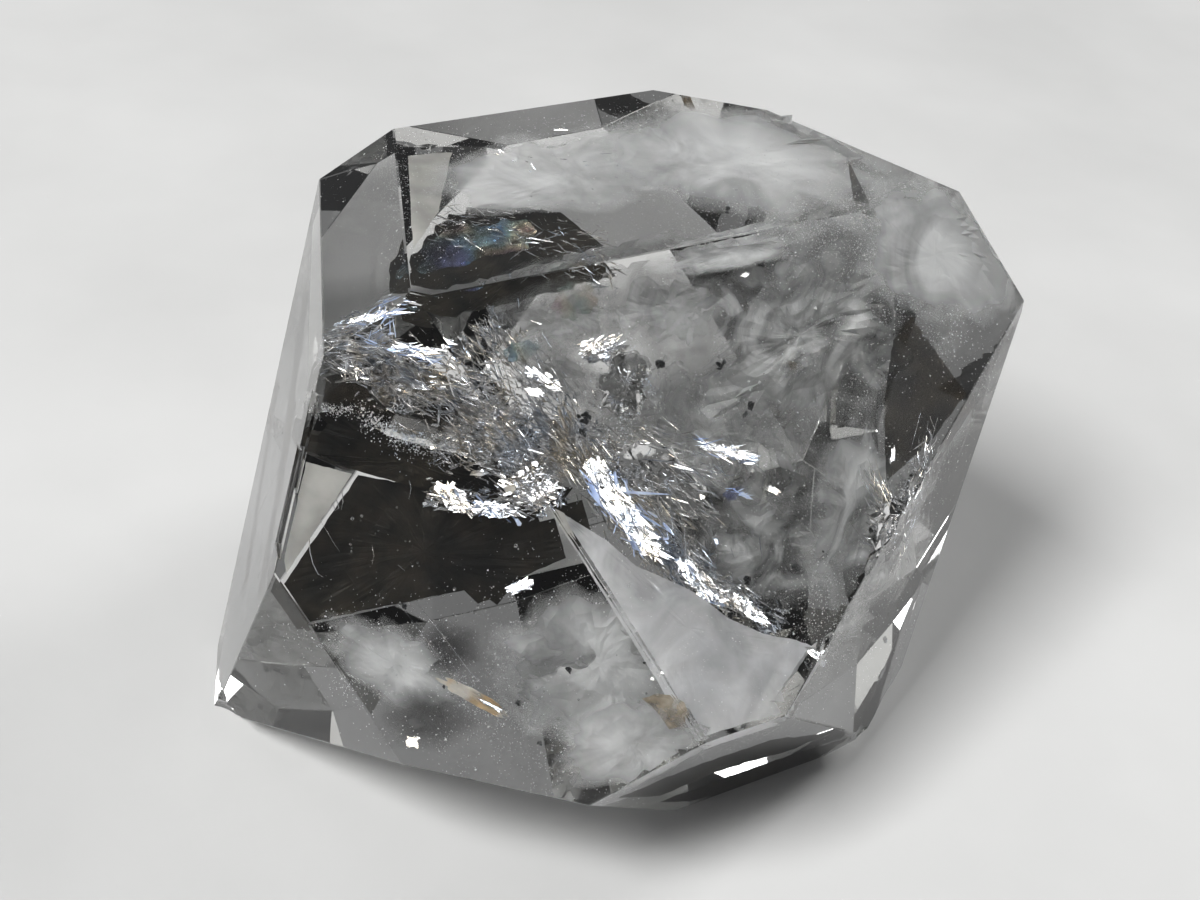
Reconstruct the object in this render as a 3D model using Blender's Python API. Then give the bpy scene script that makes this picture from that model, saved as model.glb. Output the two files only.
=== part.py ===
# Doubly terminated quartz crystal of the herkimer habit, lying on one of its pyramid faces.
# Metres, +Z up. The origin is under the middle of the crystal's box, on the surface it rests on.
# The shape is worked out in the crystal's own axes, with the long axis c along Z, and is then
# laid down on its resting face.

import math

import bmesh
import bpy
from mathutils import Matrix, Vector

MM = 0.001

# Tilt of a face normal from the c axis of quartz, in degrees
PRISM_TILT = 90.0
PYRAMID_TILT = 51.787
TRUNCATION_TILT = 65.56

# Distance of each face from the crystal's middle, in millimetres, by the azimuth of its normal
PRISM_MM = {0: 14.86, 60: 14.15, 120: 9.73, 240: 9.59, 300: 15.04}
UPPER_PYRAMID_MM = {0: 12.60, 60: 13.43, 120: 11.39, 180: 8.20, 240: 13.20, 300: 12.65}
LOWER_PYRAMID_MM = {0: 16.25, 60: 12.88, 120: 6.40, 180: 6.70, 240: 8.81, 300: 13.02}
UPPER_TRUNCATION_MM = {330: 16.13}

# The crystal lies on this lower pyramid face; the one opposite is level on top
RESTING_AZIMUTH = 120

# Natural edges are sharp: wear takes off only this much of their height
EDGE_WEAR_MM = 0.014

# Shallow growth steps along the left strip, side by side from its edge with the front prism face
STEP_DEPTHS_MM = (0.16, 0.10)
STEP_WIDTHS_MM = (0.55, 1.15)
STEP_REACH = ((0.18, 0.62), (0.46, 0.93))
STEP_SLANT = math.radians(2.5)

# Bud of a second crystal on the back edge of the top face, a little turned against the first
BUD_RADIUS_MM = 0.52
BUD_PLACE = 0.10
BUD_RISE_MM = -0.10
BUD_TURN = math.radians(17)

GLASS_COLOUR = (0.90, 0.91, 0.90, 1.0)
GLASS_ROUGHNESS = 0.03
QUARTZ_IOR = 1.544


class Face:
    """A flat face, as a unit normal and its distance from the crystal's middle in metres."""

    def __init__(self, azimuth, tilt, distance_mm, end=1):
        turn, lean = math.radians(azimuth), math.radians(tilt)
        flat = math.sin(lean)
        self.normal = Vector((flat * math.cos(turn), flat * math.sin(turn), end * math.cos(lean)))
        self.distance = distance_mm * MM


def all_faces():
    """Every face of the crystal by name: m for prism, r for pyramid, s for truncation."""
    faces = {f"m{a}": Face(a, PRISM_TILT, d) for a, d in PRISM_MM.items()}
    faces.update({f"r{a}_up": Face(a, PYRAMID_TILT, d) for a, d in UPPER_PYRAMID_MM.items()})
    faces.update({f"r{a}_low": Face(a, PYRAMID_TILT, d, -1) for a, d in LOWER_PYRAMID_MM.items()})
    faces.update({f"s{a}_up": Face(a, TRUNCATION_TILT, d) for a, d in UPPER_TRUNCATION_MM.items()})
    return faces


FACES = all_faces()


def corner(*names):
    """The point where three faces meet."""
    planes = [FACES[name] for name in names]
    return Matrix([p.normal for p in planes]).inverted() @ Vector([p.distance for p in planes])


def along_edge(edge, ends, place):
    """A point on the edge of two faces, from its corner with ends[0] at 0 to ends[1] at 1."""
    return corner(*edge, ends[0]).lerp(corner(*edge, ends[1]), place)


def outward(*names):
    """Unit vector that leans evenly out of the named faces."""
    return sum((FACES[name].normal for name in names), Vector()).normalized()


def linked(name, bm):
    """Turns a bmesh into an object of the scene."""
    mesh = bpy.data.meshes.new(name)
    bm.to_mesh(mesh)
    bm.free()
    made = bpy.data.objects.new(name, mesh)
    bpy.context.scene.collection.objects.link(made)
    return made


def cut_by_plane(bm, normal, distance):
    """Removes what lies beyond the plane, and closes the cut with one flat face."""
    geometry = bm.verts[:] + bm.edges[:] + bm.faces[:]
    cut = bmesh.ops.bisect_plane(
        bm, geom=geometry, plane_co=normal * distance, plane_no=normal, clear_outer=True
    )
    rim = [item for item in cut["geom_cut"] if isinstance(item, bmesh.types.BMEdge)]
    if rim:
        bmesh.ops.contextual_create(bm, geom=rim)


def edge_plane(edge):
    """The plane that touches an edge of the crystal, leaning evenly over its two faces."""
    normal = (edge.link_faces[0].normal + edge.link_faces[1].normal).normalized()
    return normal, normal.dot(edge.verts[0].co)


def crystal_body():
    """The whole crystal, cut face by face from a block."""
    block_size = 4 * max(face.distance for face in FACES.values())
    bm = bmesh.new()
    bmesh.ops.create_cube(bm, size=block_size)
    for face in FACES.values():
        cut_by_plane(bm, face.normal, face.distance)
    bmesh.ops.recalc_face_normals(bm, faces=bm.faces)
    bm.normal_update()
    for normal, height in [edge_plane(edge) for edge in bm.edges]:
        cut_by_plane(bm, normal, height - EDGE_WEAR_MM * MM)
    bmesh.ops.recalc_face_normals(bm, faces=bm.faces)
    return linked("quartz_crystal", bm)


def cutter(name, bm):
    """A guide solid that is taken out of the crystal, and never shown."""
    made = linked(name, bm)
    made.hide_render = True
    made.display_type = "WIRE"
    return made


def apply_boolean(body, tool, operation):
    modifier = body.modifiers.new(tool.name, "BOOLEAN")
    modifier.operation = operation
    modifier.solver = "EXACT"
    modifier.object = tool


def growth_step(index, depth_mm, width_mm, reach):
    """A box that lowers a strip of the left face by depth, beside its edge with the front face."""
    left, front = FACES["r300_low"], FACES["m0"]
    start = along_edge(("r300_low", "m0"), ("m300", "r0_low"), reach[0])
    finish = along_edge(("r300_low", "m0"), ("m300", "r0_low"), reach[1])
    run = (finish - start).normalized()
    run = Matrix.Rotation(STEP_SLANT * (-1) ** index, 3, left.normal) @ run
    across = left.normal.cross(run)
    if across.dot(front.normal) < 0:
        across.negate()
    height, width, length = 4 * MM, 4 * MM, (finish - start).length
    bm = bmesh.new()
    bmesh.ops.create_cube(bm, size=1.0)
    bmesh.ops.scale(bm, vec=(length, width, height), verts=bm.verts)
    middle = (start + finish) / 2
    middle += across * (width / 2 - width_mm * MM)
    middle += left.normal * (height / 2 - depth_mm * MM)
    frame = Matrix((run, across, run.cross(across))).transposed().to_4x4()
    bmesh.ops.transform(bm, matrix=Matrix.Translation(middle) @ frame, verts=bm.verts)
    bmesh.ops.recalc_face_normals(bm, faces=bm.faces)
    return cutter(f"step_cutter_{index}", bm)


# Chips: the faces of the edge, the faces at its two ends, the place along it from the first end,
# and the radius and the bite in millimetres
CHIPS = (
    (("r0_up", "r60_up"), ("r180_up", "m60"), 0.47, 1.9, 0.16),
    (("r0_up", "r60_up"), ("r180_up", "m60"), 0.585, 1.3, 0.20),
    (("r0_up", "r60_up"), ("r180_up", "m60"), 0.66, 1.6, 0.12),
    (("r0_up", "r60_up"), ("r180_up", "m60"), 0.84, 1.1, 0.12),
    (("m60", "r60_up"), ("r0_up", "m120"), 0.96, 1.7, 0.24),
    (("m120", "r60_up"), ("m60", "r120_up"), 0.55, 2.6, 0.14),
    (("r300_low", "r0_low"), ("m0", "r60_low"), 0.90, 1.6, 0.22),
    (("r0_low", "r60_low"), ("r300_low", "m0"), 0.05, 2.2, 0.42),
    (("r180_up", "r240_up"), ("r300_up", "m240"), 0.62, 1.7, 0.18),
    (("m120", "r120_low"), ("m60", "r180_up"), 0.45, 1.5, 0.16),
    (("m240", "r240_low"), ("r300_low", "r180_low"), 0.55, 1.8, 0.15),
)
CHIP_SQUASH = (1.0, 0.72, 1.0)


def chip(index, edge, ends, place, radius_mm, bite_mm):
    """A shell-shaped nick in an edge: a squashed ball that bites a little way in."""
    point = along_edge(edge, ends, place)
    out = outward(*edge)
    run = (corner(*edge, ends[1]) - corner(*edge, ends[0])).normalized()
    side = out.cross(run).normalized()
    bm = bmesh.new()
    bmesh.ops.create_icosphere(bm, subdivisions=3, radius=radius_mm * MM)
    bmesh.ops.scale(bm, vec=CHIP_SQUASH, verts=bm.verts)
    frame = Matrix((run, side, run.cross(side))).transposed().to_4x4()
    middle = point + out * (radius_mm - bite_mm) * MM
    bmesh.ops.transform(bm, matrix=Matrix.Translation(middle) @ frame, verts=bm.verts)
    return cutter(f"chip_cutter_{index}", bm)


def bud():
    """A tiny half-sunk crystal with the same faces, all at one distance from its middle."""
    bm = bmesh.new()
    bmesh.ops.create_cube(bm, size=4 * BUD_RADIUS_MM * MM)
    for face in FACES.values():
        cut_by_plane(bm, face.normal, BUD_RADIUS_MM * MM)
    bmesh.ops.recalc_face_normals(bm, faces=bm.faces)
    point = along_edge(("r300_up", "r180_up"), ("r240_up", "r0_up"), BUD_PLACE)
    middle = point - outward("r300_up", "r180_up") * (BUD_RADIUS_MM - BUD_RISE_MM) * MM
    turned = Matrix.Rotation(BUD_TURN, 4, outward("r300_up", "m0"))
    bmesh.ops.transform(bm, matrix=Matrix.Translation(middle) @ turned, verts=bm.verts)
    return cutter("bud", bm)


def quartz_material():
    material = bpy.data.materials.new("quartz")
    material.use_nodes = True
    shader = material.node_tree.nodes["Principled BSDF"]
    shader.inputs["Base Color"].default_value = GLASS_COLOUR
    shader.inputs["Roughness"].default_value = GLASS_ROUGHNESS
    shader.inputs["Metallic"].default_value = 0.0
    shader.inputs["IOR"].default_value = QUARTZ_IOR
    shader.inputs["Transmission Weight"].default_value = 1.0
    return material


def lying_down():
    """Rotation that brings the resting face to the bottom and the c axis into the XZ plane."""
    up = -FACES[f"r{RESTING_AZIMUTH}_low"].normal
    turn = math.radians(RESTING_AZIMUTH + 90)
    back = Vector((math.cos(turn), math.sin(turn), 0))
    return Matrix((back.cross(up), back, up)).to_4x4()


def settled(body):
    """Lays the finished crystal down, with the origin under the middle of its box."""
    graph = bpy.context.evaluated_depsgraph_get()
    whole = bpy.data.meshes.new_from_object(body.evaluated_get(graph))
    body.modifiers.clear()
    body.data = whole
    whole.transform(lying_down())
    for axis in range(3):
        low = min(vertex.co[axis] for vertex in whole.vertices)
        high = max(vertex.co[axis] for vertex in whole.vertices)
        middle = Vector()
        middle[axis] = low if axis == 2 else (low + high) / 2
        whole.transform(Matrix.Translation(-middle))


def build():
    for item in list(bpy.data.objects):
        bpy.data.objects.remove(item)
    body = crystal_body()
    for index, values in enumerate(zip(STEP_DEPTHS_MM, STEP_WIDTHS_MM, STEP_REACH)):
        apply_boolean(body, growth_step(index, *values), "DIFFERENCE")
    for index, values in enumerate(CHIPS):
        apply_boolean(body, chip(index, *values), "DIFFERENCE")
    apply_boolean(body, bud(), "UNION")
    settled(body)
    body.data.materials.clear()
    body.data.materials.append(quartz_material())


build()
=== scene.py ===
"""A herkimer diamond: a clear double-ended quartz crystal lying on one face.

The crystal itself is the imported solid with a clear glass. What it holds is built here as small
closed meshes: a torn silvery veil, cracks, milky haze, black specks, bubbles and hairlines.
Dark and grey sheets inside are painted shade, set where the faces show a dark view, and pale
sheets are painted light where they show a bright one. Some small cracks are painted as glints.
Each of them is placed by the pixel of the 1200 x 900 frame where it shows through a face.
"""

import math

import bmesh
import bpy
import numpy as np
from mathutils import Matrix, Vector, noise
from mathutils.bvhtree import BVHTree


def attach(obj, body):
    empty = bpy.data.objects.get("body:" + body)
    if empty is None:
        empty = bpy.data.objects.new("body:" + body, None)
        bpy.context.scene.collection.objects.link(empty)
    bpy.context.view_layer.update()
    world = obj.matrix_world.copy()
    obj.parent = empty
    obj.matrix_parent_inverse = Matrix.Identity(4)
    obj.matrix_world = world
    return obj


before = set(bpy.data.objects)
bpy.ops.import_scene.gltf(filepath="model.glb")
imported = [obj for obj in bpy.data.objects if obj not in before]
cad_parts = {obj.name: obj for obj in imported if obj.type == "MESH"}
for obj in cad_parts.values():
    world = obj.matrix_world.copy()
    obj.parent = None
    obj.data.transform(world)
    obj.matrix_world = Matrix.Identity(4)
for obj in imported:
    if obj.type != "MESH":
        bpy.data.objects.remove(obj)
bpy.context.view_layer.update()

MM = 0.001
QUARTZ_IOR = 1.544

# Nothing is placed deeper than this share of the way through the crystal.
DEEPEST_SHARE = 0.92
# A ray inside starts this far from the face it came through, so that it doesn't meet it again.
OFF_THE_FACE = 0.01 * MM
# A face lit at a lower cosine than this lets in too little light to count.
LEAST_COSINE = 0.1
# Steps across the picture are taken over this many pixels.
STEP_PX = 4
# The least depth of a sheet, and how far a grain stays from every face, in mm.
LEAST_DEPTH = 0.12
GRAIN_MARGIN = 0.1

# Camera: place and turn in the crystal's frame, for a 1200 x 900 picture.
FRAME_WIDE, FRAME_HIGH = 1200, 900
CAMERA_PLACE = Vector((-10.61, -47.37, 46.10)) * MM
CAMERA_RIGHT = Vector((0.9852, -0.1434, 0.0944))
CAMERA_UP = Vector((0.0146, 0.6179, 0.7861))
CAMERA_BACK = Vector((-0.1711, -0.7731, 0.6108))
LENS_MM = 49.27
SENSOR_MM = 36.0

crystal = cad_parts["quartz_crystal"]
skin = BVHTree.FromPolygons(
    [v.co for v in crystal.data.vertices],
    [tuple(p.vertices) for p in crystal.data.polygons],
)

# The normals of the crystal's large faces. Two are the same way above this cosine.
SAME_WAY = 0.999
LEAST_FACE_AREA = 1e-6
crystal_faces = []
for polygon in sorted(crystal.data.polygons, key=lambda p: -p.area):
    new_way = all(polygon.normal.dot(n) < SAME_WAY for n in crystal_faces)
    if new_way and polygon.area > LEAST_FACE_AREA:
        crystal_faces.append(polygon.normal.copy())

# Lights, by place, size and power. The bright shards are turned to mirror the key light.
KEY_PLACE = Vector((-200, -120, 320)) * MM
KEY_SIDE_MM, KEY_WATTS = 130, 2.4
SIDE_PLACE = Vector((240, 120, 200)) * MM
SIDE_SIZE_MM, SIDE_WATTS = (90, 110), 0.55
LIGHTS_AIM = Vector((0, 0, 8)) * MM
SKY = (0.21, 0.212, 0.215, 1)

# The floor is this far under the resting face, so that the two don't coincide.
FLOOR_DROP = 0.03 * MM
FLOOR_HALF_WIDTH = 0.6

# Both sources of chance. Without its seed, Blender's noise_vector follows the clock.
NOISE_SEED = 1795850481
noise.seed_set(NOISE_SEED)
rng = np.random.default_rng(1740)


# Placing things inside the crystal

def sight_line(px, py):
    """The direction from the camera through a pixel."""
    per_pixel = SENSOR_MM / LENS_MM / FRAME_WIDE
    right = (px - FRAME_WIDE / 2) * per_pixel
    up = (FRAME_HIGH / 2 - py) * per_pixel
    return (CAMERA_RIGHT * right + CAMERA_UP * up - CAMERA_BACK).normalized()


def bent_into_quartz(heading, normal):
    """Snell's law for a ray that enters the crystal."""
    ratio = 1 / QUARTZ_IOR
    cosine = -heading.dot(normal)
    rest = 1 - ratio * ratio * (1 - cosine * cosine)
    return (heading * ratio + normal * (ratio * cosine - math.sqrt(rest))).normalized()


def inside(px, py, deep):
    """The point that shows at a pixel, deep mm behind the face there, or None off the crystal."""
    heading = sight_line(px, py)
    hit, normal, _, _ = skin.ray_cast(CAMERA_PLACE, heading)
    if hit is None:
        return None
    bent = bent_into_quartz(heading, normal)
    _, _, _, room = skin.ray_cast(hit + bent * OFF_THE_FACE, bent)
    if room is None:
        return None
    return hit + bent * min(deep * MM, room * DEEPEST_SHARE)


def light_inside(point):
    """The direction from a place inside to the key light, through whichever face lets it in."""
    key = KEY_PLACE.normalized()
    for normal in crystal_faces:
        if key.dot(normal) < LEAST_COSINE:
            continue
        way = -bent_into_quartz(-key, normal)
        _, met, _, _ = skin.ray_cast(point, way)
        if met is not None and met.dot(normal) > SAME_WAY:
            return way
    return None


def glint_normal(px, py, point):
    """How a mirror at a place inside must face to show the key light at its pixel."""
    heading = sight_line(px, py)
    _, normal, _, _ = skin.ray_cast(CAMERA_PLACE, heading)
    back = -bent_into_quartz(heading, normal)
    light = light_inside(point)
    return back if light is None else (back + light).normalized()


def across(px, py, deep):
    """A place inside, and the steps in space for one pixel to the right and one down from it."""
    here = inside(px, py, deep)
    right = inside(px + STEP_PX, py, deep)
    down = inside(px, py + STEP_PX, deep)
    return here, (right - here) / STEP_PX, (down - here) / STEP_PX


# Meshes

def new_piece(name, points, faces, material, smooth=False):
    """Makes a mesh object that rides with the crystal."""
    mesh = bpy.data.meshes.new(name)
    mesh.from_pydata(np.asarray(points).tolist(), [], np.asarray(faces).tolist())
    mesh.materials.append(material)
    if smooth:
        mesh.polygons.foreach_set("use_smooth", [True] * len(mesh.polygons))
    mesh.update()
    piece = bpy.data.objects.new(name, mesh)
    bpy.context.scene.collection.objects.link(piece)
    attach(piece, "root")
    return piece


def random_turns(count):
    """Rotation matrices spread evenly over all turns."""
    q = rng.normal(size=(count, 4))
    q /= np.linalg.norm(q, axis=1)[:, None]
    w, x, y, z = q.T
    return np.stack([
        np.stack([1 - 2 * (y * y + z * z), 2 * (x * y - z * w), 2 * (x * z + y * w)], 1),
        np.stack([2 * (x * y + z * w), 1 - 2 * (x * x + z * z), 2 * (y * z - x * w)], 1),
        np.stack([2 * (x * z - y * w), 2 * (y * z + x * w), 1 - 2 * (x * x + y * y)], 1),
    ], 1)


TETRA = np.array([(1, 1, 1), (1, -1, -1), (-1, 1, -1), (-1, -1, 1)]) / math.sqrt(3)
TETRA_FACES = np.array([(0, 1, 2), (0, 2, 3), (0, 3, 1), (1, 3, 2)])


def disc_shape(sides):
    """A flat bipyramid: a rim of unit radius and a point above and below."""
    rim = [(math.cos(2 * math.pi * k / sides), math.sin(2 * math.pi * k / sides), 0)
           for k in range(sides)]
    points = np.array(rim + [(0, 0, 1), (0, 0, -1)])
    faces = []
    for k in range(sides):
        after = (k + 1) % sides
        faces += [(k, after, sides), (after, k, sides + 1)]
    return points, np.array(faces)


def copies(points, faces, centres, turns, scales, ragged=0.0):
    """One mesh's points and faces from many turned and scaled copies of a shape."""
    count = len(centres)
    placed = points[None] * scales[:, None, :]
    if ragged:
        placed = placed * (1 + rng.uniform(-ragged, ragged, size=(count, len(points), 1)))
    placed = np.einsum("nij,nkj->nki", turns, placed) + centres[:, None, :]
    shifted = faces[None] + (np.arange(count) * len(points))[:, None, None]
    return placed.reshape(-1, 3), shifted.reshape(-1, faces.shape[1])


# Finishes

def finish_of(name, roughness=0.5, **sockets):
    """A node material and its Principled shader. Sockets hold uniform values."""
    material = bpy.data.materials.new(name)
    material.use_nodes = True
    shader = material.node_tree.nodes["Principled BSDF"]
    shader.inputs["Roughness"].default_value = roughness
    for socket, value in sockets.items():
        shader.inputs[socket.replace("_", " ")].default_value = value
    return material, shader


def noise_node(material, scale, detail, warp=0.0):
    """A noise in the crystal's own space."""
    nodes = material.node_tree.nodes
    place = nodes.new("ShaderNodeTexCoord")
    grain = nodes.new("ShaderNodeTexNoise")
    grain.inputs["Scale"].default_value = scale
    grain.inputs["Detail"].default_value = detail
    grain.inputs["Distortion"].default_value = warp
    material.node_tree.links.new(place.outputs["Object"], grain.inputs["Vector"])
    return grain


def ramp_node(material, grain, stops):
    """Turns a noise into colours. Stops are (place, colour), in order."""
    ramp = material.node_tree.nodes.new("ShaderNodeValToRGB")
    elements = ramp.color_ramp.elements
    elements[0].position, elements[0].color = stops[0]
    elements[1].position, elements[1].color = stops[-1]
    for position, colour in stops[1:-1]:
        elements.new(position).color = colour
    material.node_tree.links.new(grain.outputs["Fac"], ramp.inputs["Fac"])
    return ramp


def noise_colour(material, shader, scale, stops, detail=3.0, warp=0.0):
    """Colours the shader by a noise, and gives the noise. Stops are (place, colour)."""
    grain = noise_node(material, scale, detail, warp)
    ramp = ramp_node(material, grain, stops)
    material.node_tree.links.new(ramp.outputs["Color"], shader.inputs["Base Color"])
    return grain


def noise_alpha(material, shader, scale, stops):
    """Makes the shader see-through by a noise. Stops are (place, opacity)."""
    grain = noise_node(material, scale, detail=4.0, warp=0.6)
    ramp = ramp_node(material, grain, [(place, (value, value, value, 1)) for place, value in stops])
    material.node_tree.links.new(ramp.outputs["Color"], shader.inputs["Alpha"])


def noise_bump(material, shader, scale, strength, distance, detail=2.0):
    """Makes the surface faintly uneven."""
    nodes, links = material.node_tree.nodes, material.node_tree.links
    grain = noise_node(material, scale, detail)
    bump = nodes.new("ShaderNodeBump")
    bump.inputs["Strength"].default_value = strength
    bump.inputs["Distance"].default_value = distance
    links.new(grain.outputs["Fac"], bump.inputs["Height"])
    links.new(bump.outputs["Normal"], shader.inputs["Normal"])


def range_node(material, source, span, to):
    """A value taken from one span to another, and held at its ends."""
    node = material.node_tree.nodes.new("ShaderNodeMapRange")
    node.inputs["From Min"].default_value, node.inputs["From Max"].default_value = span
    node.inputs["To Min"].default_value, node.inputs["To Max"].default_value = to
    material.node_tree.links.new(source, node.inputs["Value"])
    return node.outputs["Result"]


def clear_quartz():
    """The crystal itself, colourless and only faintly absorbing."""
    material, shader = finish_of(
        "clear_quartz", roughness=0.0, Base_Color=(1, 1, 1, 1), Transmission_Weight=1.0,
        IOR=QUARTZ_IOR)
    noise_bump(material, shader, scale=140, strength=0.25, distance=0.00004, detail=0.0)
    absorb = material.node_tree.nodes.new("ShaderNodeVolumeAbsorption")
    absorb.inputs["Color"].default_value = (0.86, 0.86, 0.85, 1)
    absorb.inputs["Density"].default_value = 60
    output = material.node_tree.nodes["Material Output"]
    material.node_tree.links.new(absorb.outputs["Volume"], output.inputs["Volume"])
    return material


def silver_flake():
    """The wall of a thin crack that mirrors the light, bluish to cream."""
    material, shader = finish_of("silver_flake", roughness=0.20, Metallic=1.0)
    noise_colour(material, shader, 900, [
        (0.30, (0.55, 0.62, 0.72, 1)), (0.48, (0.92, 0.93, 0.95, 1)),
        (0.66, (0.80, 0.74, 0.64, 1))])
    return material


def milky_speck():
    """A grain of the milky haze."""
    material, shader = finish_of("milky_speck", roughness=0.5)
    noise_colour(material, shader, 300, [
        (0.35, (0.86, 0.88, 0.90, 1)), (0.65, (0.97, 0.96, 0.94, 1))])
    return material


def air_gap():
    """The wall of a crack or bubble: the same quartz, whose faces here look into the gap."""
    material, shader = finish_of(
        "air_gap", roughness=0.0, Base_Color=(1, 1, 1, 1), Transmission_Weight=1.0, IOR=QUARTZ_IOR)
    noise_bump(material, shader, scale=2500, strength=0.3, distance=0.00001)
    return material


def carbon():
    """The black specks."""
    material, shader = finish_of("carbon", roughness=0.35)
    noise_colour(material, shader, 4000, [
        (0.40, (0.004, 0.005, 0.006, 1)), (0.70, (0.030, 0.034, 0.036, 1))])
    return material


def painted_shade_film(name, opacity, brown):
    """A thin brownish-black sheet of painted shade, uneven enough to let some light by."""
    material, shader = finish_of(name, roughness=0.45, Specular_IOR_Level=0.1)
    noise_colour(material, shader, 700, [
        (0.35, (0.006, 0.006, 0.005, 1)), (0.72, (*brown, 1))], detail=5)
    noise_alpha(material, shader, 450, [(0.30, opacity), (0.70, min(1.0, opacity + 0.12))])
    return material


# Where along the noise a cloud has its three shades, and from where to where it fades out.
SHADE_PLACES = (0.34, 0.50, 0.66)
FADE_SPAN = (0.3, 1.0)


def cloud(name, opacity, shades, span=(0.34, 0.66), scale=480, warp=1.4):
    """A veil that fades out towards its rim: milky haze with light shades, painted shade with dark
    ones.

    One noise gives its shade and, over a span of the noise, its opacity. shades are its greys
    where it is thin, middling and thick.
    """
    material, shader = finish_of(name, roughness=0.6)
    nodes, links = material.node_tree.nodes, material.node_tree.links
    grain = noise_colour(material, shader, scale, [
        (place, (shade, shade * 1.01, shade, 1)) for place, shade in zip(SHADE_PLACES, shades)],
        detail=5, warp=warp)
    thick = range_node(material, grain.outputs["Fac"], span, opacity)
    outward = nodes.new("ShaderNodeAttribute")
    outward.attribute_name = "outward"
    fade = range_node(material, outward.outputs["Fac"], FADE_SPAN, (1.0, 0.0))
    alpha = nodes.new("ShaderNodeMath")
    alpha.operation = "MULTIPLY"
    links.new(thick, alpha.inputs[0])
    links.new(fade, alpha.inputs[1])
    links.new(alpha.outputs["Value"], shader.inputs["Alpha"])
    return material


def painted_light_film(name, dull, bright, opacity):
    """A firm-edged sheet between two colours, which paints light where the faces show a bright
    view.
    """
    material, shader = finish_of(name, roughness=0.6)
    noise_colour(material, shader, 500, [(0.35, (*dull, 1)), (0.65, (*bright, 1))])
    noise_alpha(material, shader, 400, [(0.35, opacity[0]), (0.65, opacity[1])])
    return material


def frost():
    """White broken quartz, which is bright from every side."""
    material, shader = finish_of("frost", roughness=0.25)
    noise_colour(material, shader, 1100, [
        (0.35, (0.70, 0.76, 0.86, 1)), (0.55, (0.95, 0.96, 0.97, 1)),
        (0.75, (0.93, 0.90, 0.84, 1))])
    return material


def rainbow():
    """A very thin gap, which shows the colours of a soap film."""
    material, shader = finish_of("rainbow", roughness=0.30, Metallic=0.7)
    noise_colour(material, shader, 420, [
        (0.34, (0.16, 0.18, 0.36, 1)), (0.43, (0.20, 0.34, 0.50, 1)),
        (0.49, (0.34, 0.48, 0.44, 1)), (0.53, (0.60, 0.56, 0.40, 1)),
        (0.58, (0.60, 0.42, 0.34, 1)), (0.65, (0.38, 0.26, 0.44, 1))],
        detail=3)
    noise_alpha(material, shader, 700, [(0.40, 0.04), (0.62, 0.55)])
    return material


def amber():
    """A crack whose cream to orange colour is a painted glint."""
    material, shader = finish_of("amber", roughness=0.35)
    noise_colour(material, shader, 900, [
        (0.36, (0.85, 0.60, 0.32, 1)), (0.52, (1.0, 0.95, 0.84, 1))])
    noise_alpha(material, shader, 700, [(0.35, 0.55), (0.55, 1.00)])
    return material


def blue_flake():
    """A duller, bluish shard, as at the edges of the bright streaks."""
    material, shader = finish_of("blue_flake", roughness=0.5, Metallic=1.0)
    noise_colour(material, shader, 900, [
        (0.35, (0.38, 0.50, 0.80, 1)), (0.65, (0.80, 0.87, 1.0, 1))])
    return material


def brown_stain():
    """The brown patch low on the front, like a thumb print."""
    material, shader = finish_of("brown_stain", roughness=0.5)
    noise_colour(material, shader, 2400, [
        (0.35, (0.24, 0.19, 0.12, 1)), (0.65, (0.52, 0.44, 0.33, 1))], detail=6)
    noise_alpha(material, shader, 1900, [(0.35, 0.25), (0.65, 0.85)])
    return material


QUARTZ = clear_quartz()
# Painted shade: dark and grey sheets set inside where the faces show a dark view.
PAINTED_SHADE = painted_shade_film("painted_shade_film", 0.97, (0.030, 0.025, 0.017))
PAINTED_HALF_SHADE = painted_shade_film("painted_half_shade_film", 0.50, (0.090, 0.072, 0.048))
CLOUD = cloud("cloud", (0.35, 1.0), shades=(0.45, 0.70, 0.94), span=(0.38, 0.60))
# Painted shade: a dark veil, soft at its rim.
PAINTED_SHADE_CLOUD = cloud("painted_shade_cloud", (0.45, 0.90), shades=(0.010, 0.030, 0.080))
DENSE_CLOUD = cloud(
    "dense_cloud", (0.55, 1.0), shades=(0.84, 0.92, 0.98), span=(0.34, 0.56), scale=340, warp=1.0)
# Painted shade: a grey veil that dims a part.
PAINTED_HALF_SHADE_CLOUD = cloud("painted_half_shade_cloud", (0.45, 0.95), shades=(0.22, 0.34, 0.60))
# Painted light: pale sheets where the faces show a bright view.
PAINTED_LIGHT = painted_light_film("painted_light_film", (0.52, 0.51, 0.47), (0.78, 0.77, 0.72), (0.50, 0.80))
# Partly the crystal's milky haze and partly painted light: a bright sheet where the faces show a
# bright view.
PAINTED_LIGHT_AND_HAZE = painted_light_film("painted_light_and_haze_film", (0.80, 0.81, 0.82), (0.97, 0.97, 0.97), (0.30, 0.80))
FROST = frost()
RAINBOW = rainbow()
PAINTED_ORANGE_GLINT = amber()
STAIN = brown_stain()
SILVER = silver_flake()
BLUE = blue_flake()
MILK = milky_speck()
GAP = air_gap()
CARBON = carbon()
crystal.data.materials.clear()
crystal.data.materials.append(QUARTZ)


# Clouds of specks, blades and thin sheets

def wisps(point, scale_mm, seed):
    """How thick the haze is at a place, 0 to 1, in drawn-out wisps."""
    place = point / (scale_mm * MM) + Vector((seed, 2 * seed, 3 * seed))
    bend = noise.noise_vector(place * 0.6) * 0.8
    return 0.5 + 0.5 * noise.fractal(place + bend, 0.9, 2.1, 4)


def clear_of_faces(point, reach_mm):
    """Whether a thing of this reach, at a place inside, stays inside."""
    return skin.find_nearest(point)[3] > reach_mm * MM


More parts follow.
